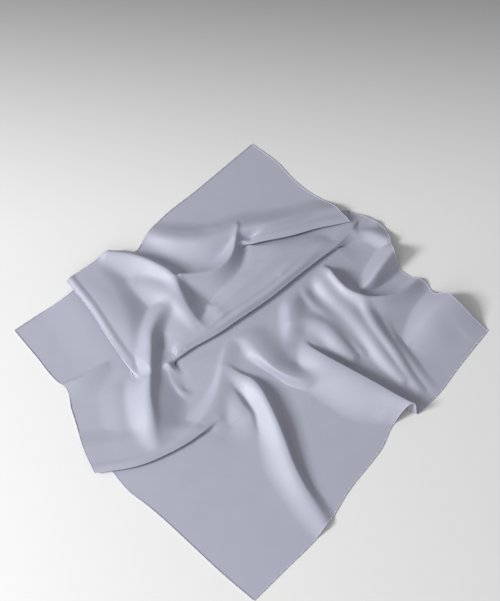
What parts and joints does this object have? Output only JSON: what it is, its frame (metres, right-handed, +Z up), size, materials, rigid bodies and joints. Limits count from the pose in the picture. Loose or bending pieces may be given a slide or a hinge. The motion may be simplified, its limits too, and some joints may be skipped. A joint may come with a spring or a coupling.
{
  "type": "square scarf",
  "caption": "Square silk scarf dropped flat in soft folds and laps, with a rolled hem along every side.",
  "frame": {"origin": "on the surface that the scarf lies on, below the middle of the dropped scarf's bounding box", "axes": "+X to the right corner, +Y away from the viewer to the far corner, +Z up from the surface"},
  "size_m": [0.9428, 1.0008, 0.0341],
  "materials": {
    "silk_satin": "satin",
    "rolled_hem": "satin"
  },
  "bodies": {
    "root": {"silk_panel": "silk_satin", "hem_left_top": "rolled_hem", "hem_top_right": "rolled_hem", "hem_right_bottom": "rolled_hem", "hem_bottom_left": "rolled_hem"}
  },
  "joints": []
}
